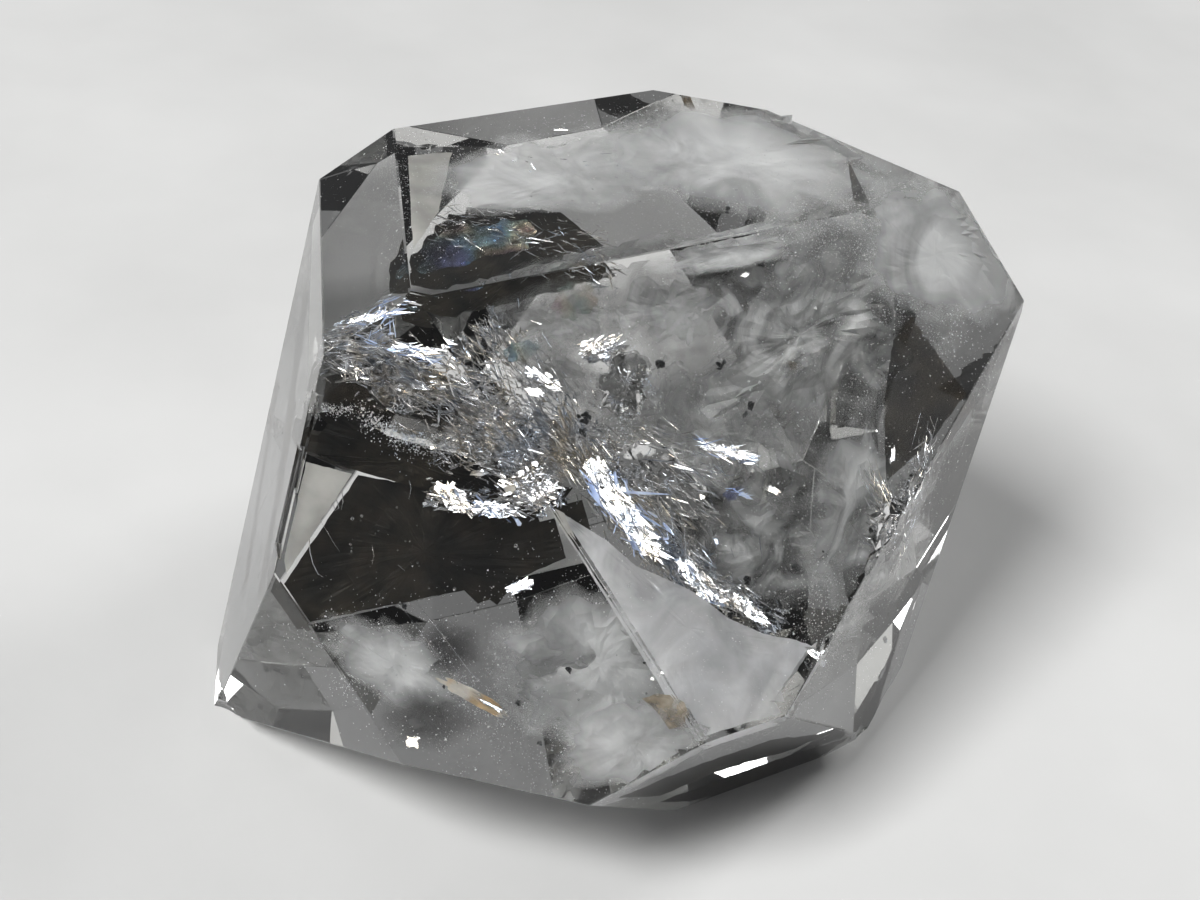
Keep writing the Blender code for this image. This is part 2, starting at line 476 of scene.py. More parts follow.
def cloud_points(clouds, wisp_mm, least):
    """Places inside for a table of clouds, thinned to wisps."""
    places = []
    for number, (x, y, reach_x, reach_y, turn, near, far, count) in enumerate(clouds):
        cos, sin = math.cos(math.radians(turn)), math.sin(math.radians(turn))
        kept, tries = 0, 0
        while kept < count and tries < count * 6:
            tries += 1
            along, over = rng.normal(size=2) * 0.5
            px = x + along * reach_x * cos - over * reach_y * sin
            py = y + along * reach_x * sin + over * reach_y * cos
            point = inside(px, py, rng.uniform(near, far))
            if point is None or wisps(point, wisp_mm, number) < least * rng.uniform(0.8, 1.2):
                continue
            if not clear_of_faces(point, GRAIN_MARGIN):
                continue
            places.append(point)
            kept += 1
    return np.array(places)


def haze(name, clouds, size_mm, material, wisp_mm=1.6, least=0.5):
    """Tiny four-sided specks, drawn out a little, as on a healed crack.

    A cloud is centre x, y, reach x, y, turn in degrees, nearest and furthest depth in mm, count.
    wisp_mm is the width of its wisps, and least the haze there must be for a speck, 0 to 1.
    """
    centres = cloud_points(clouds, wisp_mm, least)
    count = len(centres)
    sizes = size_mm * MM * rng.lognormal(0, 0.45, size=(count, 1))
    scales = sizes * rng.uniform(0.5, 1.6, size=(count, 3))
    points, faces = copies(TETRA, TETRA_FACES, centres, random_turns(count), scales)
    new_piece(name, points, faces, material)


# The thickness of a blade over its width, where it is aimed and where it isn't
AIMED_FLATNESS, LOOSE_FLATNESS = 0.03, 0.18


def blades(name, stretches, material, aimed=False):
    """Thin shards drawn out along a line, as in a torn veil.

    A stretch is x, y of its two ends, half width in pixels, depth at each end in mm, count,
    length and width of a shard in mm, tilt. Aimed blades face so that the key light shows in them.
    """
    shape, shape_faces = disc_shape(5)
    flatness = AIMED_FLATNESS if aimed else LOOSE_FLATNESS
    centres, turns, scales = [], [], []
    for x0, y0, x1, y1, width, deep0, deep1, count, long_mm, wide_mm, tilt in stretches:
        length = math.hypot(x1 - x0, y1 - y0)
        ux, uy = (x1 - x0) / length, (y1 - y0) / length
        for _ in range(count):
            t = rng.uniform(-0.04, 1.04)
            off = rng.normal() * width * 0.6
            px, py = x0 + ux * t * length - uy * off, y0 + uy * t * length + ux * off
            deep = deep0 + (deep1 - deep0) * t + rng.normal() * 0.35
            beside, below = inside(px + STEP_PX, py, deep), inside(px, py + STEP_PX, deep)
            if beside is None or below is None:
                continue
            here, right, down = across(px, py, max(deep, 0.15))
            length_mm = long_mm * rng.lognormal(0, 0.5)
            if not clear_of_faces(here, 1.4 * length_mm):
                continue
            swing = rng.normal() * 0.35
            wx = ux * math.cos(swing) - uy * math.sin(swing)
            wy = uy * math.cos(swing) + ux * math.sin(swing)
            along = (right * wx + down * wy).normalized()
            facing = glint_normal(px, py, here) if aimed else right.cross(down).normalized()
            facing = (facing + Vector(rng.normal(size=3)) * tilt).normalized()
            side = facing.cross(along).normalized()
            centres.append(here)
            turns.append(np.array((side.cross(facing), side, facing)).T)
            wide = wide_mm * MM * rng.lognormal(0, 0.4)
            scales.append((length_mm * MM, wide, wide * flatness))
    points, faces = copies(
        shape, shape_faces, np.array(centres), np.array(turns), np.array(scales), ragged=0.35)
    new_piece(name, points, faces, material)


def lens(place, rings, spokes):
    """A closed thin sheet of rings round a middle, thickest in the middle and shut at its rim.

    place(spoke, share, side) gives a point, or None off the crystal. Also gives, for each
    point, how far out it lies, from 0 in the middle to 1 at the rim.
    """
    points, shares, layers = [], [], []
    for side in (-1, 1):
        layer = []
        for ring in range(rings + 1):
            row = []
            for spoke in range(spokes if ring else 1):
                if ring == rings and side == 1:
                    row.append(layers[0][-1][spoke])
                    continue
                point = place(spoke, ring / rings, side * (1 - (ring / rings) ** 4))
                if point is None:
                    return None
                row.append(len(points))
                points.append(point)
                shares.append(ring / rings)
            layer.append(row)
        layers.append(layer)
    faces = []
    for side, layer in enumerate(layers):
        for inner, outer in zip(layer, layer[1:]):
            for spoke in range(spokes):
                after = (spoke + 1) % spokes
                found = [(inner[spoke % len(inner)], outer[spoke], outer[after])]
                if len(inner) > 1:
                    found.append((inner[spoke], outer[after], inner[after]))
                faces += found if side else [f[::-1] for f in found]
    return np.array(points), np.array(faces), shares


def joined(name, parts, material, inward=False, smooth=False):
    """One piece from several closed sheets. Inward faces make each of them a gap in the quartz."""
    all_points, all_faces, all_shares, shift = [], [], [], 0
    for number, part in enumerate(parts):
        if part is None:
            print(name, "row", number, "leaves the crystal")
            continue
        points, faces, shares = part
        all_points.append(points)
        all_faces.append((faces[:, ::-1] if inward else faces) + shift)
        all_shares += shares
        shift += len(points)
    piece = new_piece(
        name, np.concatenate(all_points), np.concatenate(all_faces), material, smooth)
    piece.data.attributes.new("outward", "FLOAT", "POINT").data.foreach_set("value", all_shares)


DRAWN_IN_SHARES = (1, 0.93, 0.86, 0.79, 0.72, 0.65, 0.58)


def drawn_in(x, y, step_x, step_y, deep):
    """The point that shows at a step from x, y, or at the most of it that stays on the crystal."""
    for share in DRAWN_IN_SHARES:
        point = inside(x + step_x * share, y + step_y * share, deep)
        if point is not None:
            return point
    return None


def crack(seed, x, y, reach_x, reach_y, turn, deep, slope, crumple, wave, thick, ragged):
    """A crumpled lens drawn in pixels round x, y.

    slope is how much deeper it gets for 100 pixels to the right and down, in mm. crumple is how
    far it bends in mm, and wave how long its bends are in pixels, along and across its length.
    thick is its thickness in mm, and ragged how uneven its rim is.
    """
    cos, sin = math.cos(math.radians(turn)), math.sin(math.radians(turn))
    rings, spokes = 10, 44

    def place(spoke, share, side):
        angle = 2 * math.pi * spoke / spokes
        edge = 1 + ragged * noise.fractal(
            Vector((2 * math.cos(angle), 2 * math.sin(angle), seed)), 0.7, 2.2, 4)
        ax, ay = share * edge * reach_x * math.cos(angle), share * edge * reach_y * math.sin(angle)
        dx, dy = ax * cos - ay * sin, ax * sin + ay * cos
        rough = noise.fractal(Vector((ax / wave[0], ay / wave[1], seed + 5)), 0.9, 2.1, 4)
        depth = deep + (slope[0] * dx + slope[1] * dy) / 100 + crumple * rough + side * thick / 2
        return drawn_in(x, y, dx, dy, max(depth, LEAST_DEPTH))

    return lens(place, rings, spokes)


def cracks(name, table, material, thick=0.04, ragged=0.3, inward=False, smooth=False):
    """A table of cracks, each with x, y, reach x, y, turn, depth, slope, crumple and wave."""
    parts = [crack(number * 3.7 + 1, *row, thick, ragged) for number, row in enumerate(table)]
    joined(name, parts, material, inward, smooth)


def film(seed, outline, deep, slope, crumple, thick, ragged=1.2):
    """A sheet that shows as an outline in pixels, otherwise as a crack. ragged is in pixels."""
    edge = []
    for (x0, y0), (x1, y1) in zip(outline, outline[1:] + outline[:1]):
        parts = max(1, round(math.hypot(x1 - x0, y1 - y0) / 6))
        edge += [(x0 + (x1 - x0) * k / parts, y0 + (y1 - y0) * k / parts) for k in range(parts)]
    cx = sum(x for x, _ in edge) / len(edge)
    cy = sum(y for _, y in edge) / len(edge)

    def place(spoke, share, side):
        ex, ey = edge[spoke]
        shake = ragged * noise.noise(Vector((ex / 5, ey / 5, seed))) * share
        dx, dy = (ex - cx) * share + shake, (ey - cy) * share + shake
        rough = noise.fractal(Vector((dx / 30, dy / 30, seed + 5)), 0.8, 2.1, 4)
        depth = deep + (slope[0] * dx + slope[1] * dy) / 100 + crumple * rough + side * thick / 2
        return drawn_in(cx, cy, dx, dy, max(depth, LEAST_DEPTH))

    return lens(place, 7, len(edge))


def films(name, table, material):
    """A table of films, each with an outline, depth, slope, crumple and thickness."""
    joined(name, [film(number * 2.9 + 2, *row) for number, row in enumerate(table)], material)


PLATE_HALF_THICK_MM = 0.006


def plate(seed, x, y, turn, deep, long_mm, wide_mm, crumple):
    """A ragged plate that faces so that the key light shows in it. turn is in the picture."""
    here, right, down = across(x, y, deep)
    facing = glint_normal(x, y, here)
    along = right * math.cos(math.radians(turn)) + down * math.sin(math.radians(turn))
    along = (along - facing * along.dot(facing)).normalized()
    over = facing.cross(along)
    spokes = 30

    def place(spoke, share, side):
        angle = 2 * math.pi * spoke / spokes
        edge = 1 + 0.55 * noise.fractal(
            Vector((1.6 * math.cos(angle), 1.6 * math.sin(angle), seed * 3.1)), 0.6, 2.3, 4)
        u = share * edge * long_mm * math.cos(angle)
        v = share * edge * wide_mm * math.sin(angle)
        rise = crumple * noise.fractal(Vector((u * 1.8, v * 5.0, seed * 5.3)), 0.9, 2.1, 3)
        rise += side * PLATE_HALF_THICK_MM
        return here + (along * u + over * v + facing * rise) * MM

    return lens(place, 8, spokes)


def plates(name, table, material):
    """A table of plates, each with x, y, turn, depth, half length, half width and crumple in mm."""
    joined(name, [plate(number, *row) for number, row in enumerate(table)], material)


def tube(path, deep0, deep1, radius):
    """A closed tube along pixels, thinner at its ends. Its two depths and its radius are in mm."""
    sides = 6
    spots = [inside(x, y, deep0 + (deep1 - deep0) * k / (len(path) - 1))
             for k, (x, y) in enumerate(path)]
    points = [spots[0]]
    for k, spot in enumerate(spots):
        heading = (spots[min(k + 1, len(spots) - 1)] - spots[max(k - 1, 0)]).normalized()
        first = heading.cross(CAMERA_BACK).normalized()
        second = heading.cross(first)
        thin = radius * MM * (0.5 + 0.5 * math.sin(math.pi * (k + 0.7) / (len(spots) + 0.4)))
        for side in range(sides):
            angle = 2 * math.pi * side / sides
            points.append(spot + (first * math.cos(angle) + second * math.sin(angle)) * thin)
    points.append(spots[-1])
    faces = []
    last = 1 + (len(spots) - 1) * sides
    for side in range(sides):
        after = (side + 1) % sides
        faces += [(0, 1 + after, 1 + side), (len(points) - 1, last + side, last + after)]
        for k in range(len(spots) - 1):
            low, high = 1 + k * sides, 1 + (k + 1) * sides
            faces += [(low + side, low + after, high + after),
                      (low + side, high + after, high + side)]
    return np.array(points), np.array(faces), [0.0] * len(points)


def tubes(name, table, material):
    """A table of tubes, each with a path in pixels, a depth at each end and a radius in mm."""
    joined(name, [tube(*row) for row in table], material, smooth=True)


def ball_shape():
    """A closed ball of unit radius, in 80 triangles."""
    ball = bmesh.new()
    bmesh.ops.create_icosphere(ball, subdivisions=2, radius=1)
    points = np.array([v.co for v in ball.verts])
    faces = np.array([[v.index for v in f.verts] for f in ball.faces])
    ball.free()
    return points, faces


def bubbles(name, table, material):
    """Round gaps in the quartz. A row is x, y, reach x, y, depth in mm, count, radius in mm."""
    shape, shape_faces = ball_shape()
    centres, scales = [], []
    for x, y, reach_x, reach_y, deep, count, radius in table:
        for _ in range(count):
            off_x, off_y = rng.normal(size=2) * 0.5
            point = inside(x + off_x * reach_x, y + off_y * reach_y, deep + rng.uniform(-0.4, 0.4))
            if point is not None:
                centres.append(point)
                scales.append(radius * MM * rng.lognormal(0, 0.35) * rng.uniform(0.8, 1.2, size=3))
    turns = random_turns(len(centres))
    points, faces = copies(shape, shape_faces[:, ::-1], np.array(centres), turns, np.array(scales))
    new_piece(name, points, faces, material, smooth=True)


def lumps(name, table, material):
    """Irregular grains and clusters: x, y, reach in pixels, depth in mm, count, size in mm."""
    shape, shape_faces = disc_shape(7)
    centres, scales = [], []
    for x, y, reach, deep, count, size in table:
        for _ in range(count):
            off_x, off_y = rng.normal(size=2) * reach * 0.45
            point = inside(x + off_x, y + off_y, deep + rng.normal() * reach * 0.012)
            if point is not None:
                centres.append(point)
                scales.append(size * MM * rng.uniform(0.5, 1.2, size=3))
    turns = random_turns(len(centres))
    points, faces = copies(
        shape, shape_faces, np.array(centres), turns, np.array(scales), ragged=0.3)
    new_piece(name, points, faces, material)


# What the crystal holds, and sheets of painted shade and painted light

cracks("cloud_sheets", [
    # x, y, reach x, y, turn, depth, slope, crumple, wave
    (800, 335, 150, 110, -25, 5.0, (2, 2), 0.9, (70, 50)),
    (705, 440, 150, 95, 25, 6.0, (2, 2), 0.9, (60, 50)),
    (860, 510, 62, 105, 12, 3.0, (3, 2), 0.5, (60, 40)),
    (760, 550, 80, 60, 0, 5.0, (2, 2), 0.6, (60, 40)),
    (570, 690, 95, 60, 20, 1.8, (2, 2), 0.4, (50, 40)),
], CLOUD, ragged=0.26)
cracks("dense_clouds", [
    (728, 252, 70, 20, -12, 1.2, (1, 1), 0.2, (60, 40)),
    (600, 665, 100, 84, 20, 1.6, (1, 1), 0.3, (60, 40)),
    (630, 745, 80, 46, -10, 0.8, (1, 1), 0.2, (60, 40)),
    (395, 665, 85, 38, 32, 1.2, (1, 1), 0.2, (40, 30)),
    (935, 255, 90, 70, 30, 0.7, (1, 1), 0.2, (60, 40)),
    (565, 172, 140, 44, -6, 1.2, (1, 1), 0.2, (60, 30)),
    (735, 162, 150, 56, 4, 1.2, (1, 1), 0.2, (60, 30)),
], DENSE_CLOUD, ragged=0.26)
# Painted shade: grey veils that dim the upper middle of the front.
cracks("painted_half_shade_clouds", [
    (560, 318, 80, 42, -14, 3.2, (1, 1), 0.4, (60, 40)),
    (672, 305, 88, 56, 10, 3.4, (1, 1), 0.4, (60, 40)),
    (560, 374, 56, 36, 30, 3.3, (1, 1), 0.3, (60, 40)),
], PAINTED_HALF_SHADE_CLOUD, ragged=0.26)
haze("haze_right", [
    # x, y, reach x, y, turn, nearest, furthest, count
    (820, 320, 200, 150, -20, 2.0, 8.0, 3500),
    (700, 420, 220, 170, 10, 2.0, 9.0, 4500),
    (900, 260, 120, 110, 0, 0.6, 4.0, 3000),
    (860, 560, 90, 160, 15, 1.0, 6.0, 2500),
], size_mm=0.014, material=MILK)
haze("haze_low", [
    (700, 660, 170, 110, -20, 0.6, 6.0, 3500),
    (560, 680, 150, 110, 0, 0.6, 5.0, 3500),
    (430, 680, 140, 60, 20, 0.4, 3.0, 2500),
], size_mm=0.013, material=MILK)
haze("haze_top", [
    (640, 160, 260, 70, -3, 0.5, 4.0, 5500),
    (820, 180, 150, 60, 8, 0.5, 4.0, 3500),
    (430, 190, 50, 80, 0, 0.5, 3.0, 1500),
], size_mm=0.013, material=MILK)
haze("froth", [
    (330, 411, 36, 7, -8, 2.6, 2.9, 500), (385, 428, 40, 9, 26, 2.6, 3.0, 700),
    (440, 442, 46, 9, 8, 2.6, 3.0, 500), (420, 446, 60, 16, 10, 2.8, 3.1, 400),
    (612, 436, 30, 60, 30, 3.0, 3.6, 500), (645, 380, 10, 40, -20, 2.6, 3.0, 250),
], size_mm=0.018, material=FROST, wisp_mm=0.5, least=0.3)

blades("veil_left", [
    # x, y, x, y, half width, depth, depth, count, length, width, tilt
    (330, 352, 450, 392, 20, 2.0, 2.6, 300, 0.34, 0.030, 0.8),
    (340, 342, 400, 356, 8, 1.8, 2.2, 160, 0.30, 0.035, 0.7),
    (390, 372, 560, 450, 26, 2.4, 3.2, 950, 0.22, 0.030, 0.9),
    (440, 440, 560, 480, 18, 2.6, 3.3, 700, 0.16, 0.030, 0.9),
    (430, 495, 530, 505, 12, 2.6, 3.2, 300, 0.14, 0.035, 0.9),
    (440, 218, 600, 250, 20, 1.6, 2.4, 260, 0.22, 0.025, 0.9),
    (500, 150, 640, 160, 16, 1.2, 2.0, 160, 0.20, 0.025, 0.9),
], SILVER)
blades("veil_right", [
    (480, 330, 600, 470, 30, 2.8, 3.8, 900, 0.20, 0.030, 0.9),
    (560, 430, 690, 570, 24, 3.2, 4.0, 1300, 0.24, 0.032, 0.7),
    (670, 560, 775, 622, 13, 3.6, 4.2, 800, 0.18, 0.035, 0.7),
    (620, 440, 720, 480, 30, 3.2, 3.8, 260, 0.34, 0.016, 0.6),
    (640, 500, 720, 610, 36, 3.4, 4.0, 260, 0.30, 0.020, 0.8),
    (870, 470, 900, 560, 10, 2.0, 2.4, 160, 0.30, 0.020, 0.7),
    (930, 430, 890, 600, 10, 1.2, 1.6, 160, 0.36, 0.020, 0.7),
], SILVER)
blades("bright_blades", [
    (594, 468, 650, 545, 7, 2.6, 2.9, 500, 0.20, 0.045, 0.05),
    (612, 500, 655, 552, 6, 2.6, 2.9, 320, 0.24, 0.045, 0.05),
    (684, 566, 716, 600, 6, 2.8, 3.1, 220, 0.16, 0.040, 0.06),
    (700, 585, 740, 606, 5, 2.8, 3.1, 120, 0.12, 0.030, 0.08),
    (738, 598, 762, 622, 3, 3.0, 3.2, 120, 0.14, 0.040, 0.06),
    (440, 488, 470, 512, 5, 2.2, 2.3, 120, 0.15, 0.040, 0.06),
    (478, 506, 515, 512, 5, 2.2, 2.4, 100, 0.13, 0.035, 0.06),
    (500, 480, 560, 500, 10, 2.2, 2.4, 130, 0.08, 0.030, 0.10),
    (708, 446, 752, 460, 4, 2.6, 2.7, 110, 0.28, 0.018, 0.06),
    (530, 372, 558, 388, 4, 2.4, 2.6, 90, 0.12, 0.035, 0.06),
    (582, 352, 620, 340, 7, 2.4, 2.6, 110, 0.11, 0.026, 0.08),
    (590, 345, 640, 385, 8, 2.4, 2.6, 50, 0.10, 0.020, 0.10),
    (350, 322, 395, 312, 3, 1.4, 1.5, 80, 0.22, 0.018, 0.06),
    (398, 348, 432, 354, 4, 1.7, 1.8, 80, 0.24, 0.024, 0.06),
    (345, 370, 440, 388, 8, 1.8, 2.0, 90, 0.14, 0.016, 0.12),
    (880, 480, 905, 540, 5, 1.6, 1.8, 60, 0.20, 0.018, 0.08),
    (930, 440, 900, 580, 6, 1.0, 1.3, 60, 0.24, 0.016, 0.08),
    (640, 160, 660, 172, 4, 1.0, 1.1, 30, 0.06, 0.030, 0.08),
    (500, 150, 530, 170, 5, 0.9, 1.0, 40, 0.12, 0.030, 0.08),
], SILVER, aimed=True)

blades("blue_glints", [
    (586, 480, 640, 552, 5, 2.3, 2.6, 34, 0.20, 0.030, 0.25),
    (612, 470, 668, 540, 5, 2.3, 2.6, 34, 0.20, 0.030, 0.25),
    (346, 326, 398, 312, 4, 1.3, 1.4, 22, 0.24, 0.024, 0.25),
    (392, 350, 436, 358, 5, 1.6, 1.7, 22, 0.22, 0.026, 0.25),
    (440, 490, 520, 522, 6, 2.0, 2.2, 26, 0.16, 0.030, 0.25),
    (680, 560, 720, 610, 6, 2.6, 2.9, 22, 0.16, 0.026, 0.25),
    (700, 440, 756, 464, 5, 2.4, 2.6, 22, 0.24, 0.018, 0.25),
    (880, 130, 915, 160, 4, 0.8, 1.0, 16, 0.16, 0.020, 0.25),
    (728, 488, 748, 496, 3, 2.4, 2.6, 16, 0.10, 0.024, 0.25),
], BLUE, aimed=True)
plates("bright_plates", [
    # x, y, turn, depth, half length, half width, crumple
    (608, 490, 46, 2.5, 0.85, 0.20, 0.016), (630, 524, 52, 2.6, 0.95, 0.26, 0.016),
    (645, 545, 55, 2.6, 0.45, 0.20, 0.014), (696, 580, 46, 2.8, 0.60, 0.20, 0.016),
    (706, 594, 40, 2.8, 0.30, 0.18, 0.016), (748, 608, 45, 3.0, 0.42, 0.14, 0.014),
    (456, 500, 30, 2.1, 0.50, 0.28, 0.016), (447, 491, -60, 2.0, 0.30, 0.14, 0.010),
    (496, 512, -8, 2.2, 0.45, 0.18, 0.016), (536, 392, 25, 2.3, 0.34, 0.14, 0.010),
    (730, 453, 14, 2.5, 0.70, 0.16, 0.016), (520, 586, -22, 1.6, 0.42, 0.20, 0.010),
    (412, 742, 20, 0.8, 0.24, 0.20, 0.006), (823, 652, 110, 1.2, 0.42, 0.13, 0.010),
    (774, 490, 20, 2.6, 0.24, 0.12, 0.010), (659, 675, 90, 1.5, 0.13, 0.10, 0.006),
    (702, 497, 40, 2.4, 0.13, 0.10, 0.006), (372, 318, -20, 1.4, 0.36, 0.12, 0.014),
    (412, 351, 5, 1.7, 0.40, 0.14, 0.014), (604, 356, 0, 2.4, 0.22, 0.14, 0.014),
    (716, 541, 70, 2.6, 0.14, 0.09, 0.006), (618, 617, 60, 1.8, 0.12, 0.09, 0.006),
    (664, 662, 70, 1.6, 0.12, 0.08, 0.006), (885, 640, 60, 0.8, 0.22, 0.10, 0.006),
    (560, 130, 0, 0.7, 0.25, 0.08, 0.006), (505, 163, 10, 0.8, 0.22, 0.09, 0.006),
    (492, 706, 26, 1.0, 0.40, 0.07, 0.010), (893, 455, 100, 1.4, 0.26, 0.10, 0.010),
    (745, 275, 10, 2.0, 0.16, 0.10, 0.006),
], SILVER)

cracks("silver_cracks", [
    (430, 385, 60, 12, 24, 2.3, (2, 3), 0.45, (40, 5)),
    (500, 430, 50, 10, 32, 2.8, (2, 3), 0.45, (34, 5)),
    (604, 352, 22, 10, -15, 2.9, (3, 2), 0.30, (16, 5)),
    (560, 440, 44, 9, 50, 3.2, (2, 3), 0.45, (34, 5)),
    (660, 560, 40, 8, 42, 3.8, (2, 3), 0.45, (34, 5)),
], SILVER)
cracks("clear_cracks", [
    (626, 384, 26, 34, 20, 2.8, (3, 2), 0.10, (40, 40)),
    (420, 392, 60, 26, 22, 2.5, (3, 3), 0.14, (50, 30)),
    (660, 480, 56, 26, 30, 3.7, (2, 3), 0.16, (50, 30)),
    (892, 520, 26, 12, 110, 1.8, (4, 2), 0.14, (40, 20)),
], GAP, thick=0.05, inward=True, smooth=True)
cracks("rainbow_cracks", [
    (458, 250, 40, 22, -22, 2.2, (1, 2), 0.10, (30, 20)),
    (505, 236, 34, 16, -10, 2.3, (1, 2), 0.10, (30, 20)),
    (650, 166, 9, 6, 20, 1.4, (1, 1), 0.04, (20, 20)),
    (574, 300, 22, 18, -30, 2.2, (1, 1), 0.06, (30, 30)),
    (736, 493, 13, 6, -20, 3.0, (1, 1), 0.05, (30, 20)),
    (520, 352, 16, 10, -10, 2.4, (1, 1), 0.10, (20, 20)),
], RAINBOW, thick=0.03)
# Painted glints: small cracks coloured cream to orange in place of a bright glint.
cracks("painted_orange_glints", [
    (474, 697, 38, 7, 28, 1.1, (1, 1), 0.10, (30, 5)),
    (510, 489, 6, 4, 10, 2.4, (1, 1), 0.03, (10, 10)),
    (650, 168, 4, 3, 10, 1.2, (1, 1), 0.02, (10, 10)),
], PAINTED_ORANGE_GLINT, thick=0.03)

# Painted shade: dark sheets in the front face, along a band above it and at the top left, where the
# faces show a dark view.
films("painted_shade_films", [
    # outline in pixels, depth, slope, crumple, thickness
    ([(358, 475), (284, 584), (310, 622), (474, 588), (478, 604), (492, 598), (497, 605),
      (519, 578), (566, 558), (552, 507), (500, 500), (440, 490)], 3.6, (0.6, -0.6), 0.05, 0.03),
    ([(304, 432), (318, 413), (345, 411), (368, 424), (388, 436), (410, 442), (440, 450),
      (470, 458), (500, 478), (520, 498), (470, 498), (420, 488), (367, 474), (300, 452)],
     3.3, (0.5, 0.5), 0.15, 0.03),
    ([(409, 262), (440, 222), (480, 204), (560, 212), (604, 246), (560, 258), (440, 290),
      (412, 286)],
     2.6, (0.5, 0.5), 0.10, 0.03, 4.0),
], PAINTED_SHADE)
# Painted shade: grey sheets that dim parts on the right, at the top and on the left strips.
films("painted_half_shade_films", [
    ([(911, 316), (966, 394), (930, 442), (886, 482), (884, 400), (893, 340)],
     2.2, (0.3, 0.3), 0.03, 0.03),
    ([(848, 160), (870, 204), (853, 200)], 1.4, (0.3, 0.3), 0.02, 0.02),
    ([(304, 290), (309, 292), (281, 500), (275, 498)], 0.5, (0, 0), 0.0, 0.01),
    ([(292, 400), (296, 402), (262, 600), (257, 597)], 0.4, (0, 0), 0.0, 0.01),
    ([(276, 380), (279, 381), (246, 590), (243, 588)], 0.3, (0, 0), 0.0, 0.01),
    ([(326, 378), (380, 362), (450, 382), (520, 420), (546, 470), (500, 478), (455, 446),
      (400, 434), (345, 408), (322, 402)], 3.2, (0.4, 0.3), 0.10, 0.02),
], PAINTED_HALF_SHADE)
# Painted shade: dark slivers low on the front, which also hide a bright view of the key light.
films("painted_shade_streaks", [
    ([(618, 798), (690, 768), (770, 740), (836, 732), (790, 750), (716, 772), (660, 796)],
     0.4, (0, 0), 0.0, 0.01),
    ([(660, 802), (730, 776), (800, 752), (848, 738), (822, 756), (748, 784), (690, 802)],
     0.6, (0, 0), 0.0, 0.01),
], PAINTED_SHADE)
# Painted shade: soft dark blobs low on the front.
films("painted_shade_clouds", [
    ([(372, 716), (402, 684), (455, 690), (486, 724), (446, 752), (396, 748)],
     1.4, (0.3, 0), 0.05, 0.02),
    ([(408, 644), (438, 616), (480, 628), (484, 662), (444, 682), (412, 672)],
     1.6, (0.3, 0), 0.05, 0.02),
], PAINTED_SHADE_CLOUD)
# Partly milky haze and partly painted light: a bright sheet down the front, from the streak to the
# low edges.
films("painted_light_and_haze_films", [
    ([(560, 512), (612, 592), (664, 674), (700, 738), (744, 724), (788, 712), (828, 652),
      (796, 640), (764, 634), (728, 618), (694, 592), (664, 578), (636, 566), (606, 540)],
     1.2, (0.1, 0.1), 0.03, 0.02),
], PAINTED_LIGHT_AND_HAZE)
# Painted light: pale sheets set where the faces show a bright view.
films("painted_light_patches", [
    ([(306, 462), (352, 474), (286, 574), (284, 560)], 0.7, (0, 0), 0.0, 0.01),
    ([(408, 156), (452, 152), (438, 212), (413, 250)], 0.8, (0, 0), 0.0, 0.01),
    ([(554, 508), (564, 513), (576, 540), (568, 537)], 0.5, (0, 0), 0.0, 0.01),
], PAINTED_LIGHT)
films("fingerprint", [
    ([(642, 699), (655, 694), (670, 695), (684, 702), (689, 714), (682, 726), (669, 729),
      (660, 716), (652, 706)], 0.5, (0.3, 0.3), 0.02, 0.02),
], STAIN)

tubes("hairlines", [
    # path, depth at each end, radius
    ([(313, 505), (312, 520), (309, 536), (310, 552), (313, 564), (318, 574), (323, 577)],
     1.2, 1.4, 0.016),
    ([(336, 478), (334, 486), (336, 498), (339, 508), (335, 511), (333, 503)], 1.2, 1.3, 0.014),
    ([(339, 480), (342, 492), (343, 502), (341, 510)], 1.2, 1.3, 0.014),
    ([(372, 545), (374, 556), (372, 564)], 1.4, 1.5, 0.010),
    ([(398, 565), (405, 571)], 1.2, 1.3, 0.010),
    ([(409, 480), (411, 488), (409, 499)], 1.5, 1.6, 0.010),
    ([(414, 600), (440, 632), (470, 672), (500, 700)], 0.25, 0.3, 0.010),
    ([(404, 610), (430, 645), (458, 684)], 0.25, 0.3, 0.008),
    ([(320, 520), (335, 545), (340, 552)], 1.4, 1.6, 0.006),
], SILVER)
bubbles("bubbles", [
    # x, y, reach x, y, depth, count, radius
    (380, 556, 50, 40, 1.4, 16, 0.030), (356, 520, 10, 8, 1.3, 3, 0.050),
    (450, 620, 60, 40, 1.0, 14, 0.035), (520, 680, 60, 40, 1.0, 22, 0.040),
    (600, 700, 80, 50, 1.2, 22, 0.035), (640, 560, 40, 40, 2.0, 8, 0.050),
    (700, 420, 160, 120, 2.6, 30, 0.035), (600, 180, 160, 30, 1.2, 24, 0.035),
    (540, 640, 20, 20, 1.2, 6, 0.060),
], GAP)

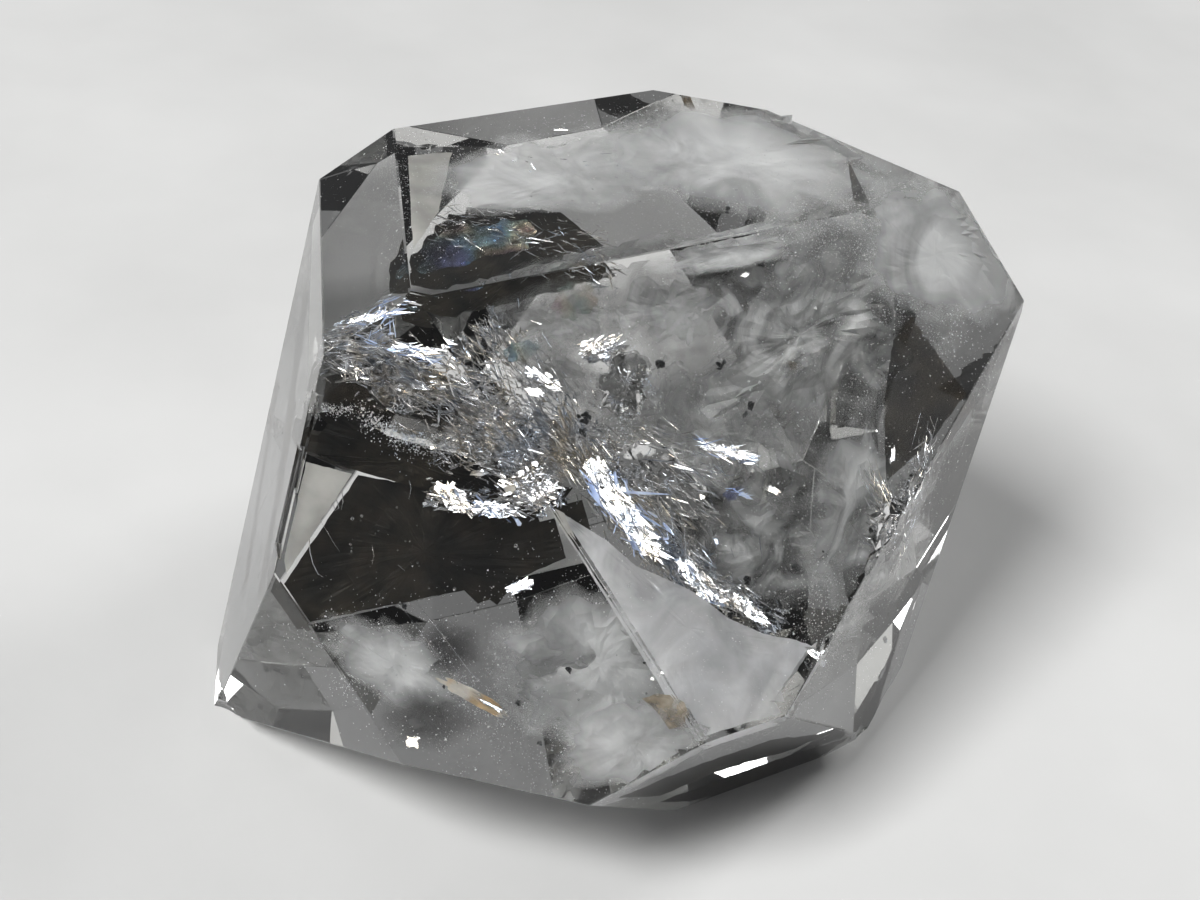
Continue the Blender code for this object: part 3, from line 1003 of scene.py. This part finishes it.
lumps("carbon_specks", [
    # x, y, reach, depth, count, size
    (768, 612, 13, 4.0, 60, 0.13), (776, 616, 10, 4.1, 30, 0.12), (758, 621, 6, 4.0, 10, 0.08),
    (748, 581, 3, 3.6, 5, 0.13), (798, 567, 3, 3.2, 6, 0.13), (793, 606, 3, 3.0, 4, 0.12),
    (797, 629, 1, 3.0, 1, 0.09), (660, 362, 4, 2.6, 8, 0.15), (720, 366, 4, 3.0, 5, 0.13),
    (760, 264, 4, 2.4, 6, 0.15), (750, 405, 3, 3.2, 4, 0.14), (744, 414, 2, 3.2, 2, 0.11),
    (404, 606, 3, 0.6, 5, 0.08), (568, 670, 2, 1.0, 3, 0.10), (518, 703, 2, 1.0, 3, 0.10),
    (540, 743, 1, 1.0, 2, 0.09), (505, 327, 3, 2.0, 3, 0.10), (746, 258, 2, 2.2, 2, 0.08),
    (728, 209, 3, 1.0, 5, 0.10), (444, 687, 1, 1.0, 1, 0.07), (823, 552, 1, 2.4, 1, 0.08),
    (655, 655, 2, 1.6, 3, 0.06), (612, 735, 3, 1.2, 4, 0.06), (480, 520, 2, 2.4, 2, 0.06),
    (586, 418, 6, 2.8, 10, 0.10), (584, 432, 4, 2.8, 6, 0.08),
], CARBON)


# Stage, lights and camera

def pale_floor():
    """A plain matt floor just under the crystal."""
    material, shader = finish_of("pale_floor", roughness=0.75, Specular_IOR_Level=0.2)
    noise_colour(material, shader, 60, [
        (0.30, (0.42, 0.42, 0.415, 1)), (0.70, (0.47, 0.47, 0.465, 1))], detail=6)
    corners = ((-1, -1), (1, -1), (1, 1), (-1, 1))
    points = [(x * FLOOR_HALF_WIDTH, y * FLOOR_HALF_WIDTH, -FLOOR_DROP) for x, y in corners]
    mesh = bpy.data.meshes.new("floor")
    mesh.from_pydata(points, [], [(0, 1, 2, 3)])
    mesh.materials.append(material)
    floor = bpy.data.objects.new("floor", mesh)
    bpy.context.scene.collection.objects.link(floor)


def softbox(name, place, size_mm, watts):
    """A soft lamp that points at the crystal and doesn't show itself."""
    light = bpy.data.lights.new(name, "AREA")
    light.shape = "RECTANGLE"
    light.size, light.size_y = size_mm[0] * MM, size_mm[1] * MM
    light.energy = watts
    lamp = bpy.data.objects.new(name, light)
    lamp.location = place
    lamp.rotation_euler = (LIGHTS_AIM - place).to_track_quat("-Z", "Y").to_euler()
    lamp.visible_camera = False
    bpy.context.scene.collection.objects.link(lamp)


def sky():
    """An even grey all round."""
    world = bpy.data.worlds.new("studio")
    bpy.context.scene.world = world
    world.use_nodes = True
    world.node_tree.nodes["Background"].inputs["Color"].default_value = SKY
    world.node_tree.nodes["Background"].inputs["Strength"].default_value = 1.0


def photo_camera():
    """The camera, at the photograph's place and angle."""
    data = bpy.data.cameras.new("camera")
    data.lens = LENS_MM
    data.sensor_width = SENSOR_MM
    data.clip_start = 1 * MM
    camera = bpy.data.objects.new("camera", data)
    turn = Matrix((CAMERA_RIGHT, CAMERA_UP, CAMERA_BACK)).transposed()
    camera.matrix_world = Matrix.Translation(CAMERA_PLACE) @ turn.to_4x4()
    bpy.context.scene.collection.objects.link(camera)
    bpy.context.scene.camera = camera


def light_paths():
    """Enough bounces to see through the crystal and its veils, and no more."""
    cycles = bpy.context.scene.cycles
    cycles.max_bounces = 8
    cycles.transmission_bounces = 8
    cycles.glossy_bounces = 4
    cycles.diffuse_bounces = 1
    cycles.use_light_tree = False
    cycles.transparent_max_bounces = 48


pale_floor()
softbox("key", KEY_PLACE, (KEY_SIDE_MM, KEY_SIDE_MM), KEY_WATTS)
softbox("side", SIDE_PLACE, SIDE_SIZE_MM, SIDE_WATTS)
sky()
photo_camera()
light_paths()
bpy.context.scene.view_settings.view_transform = "Standard"
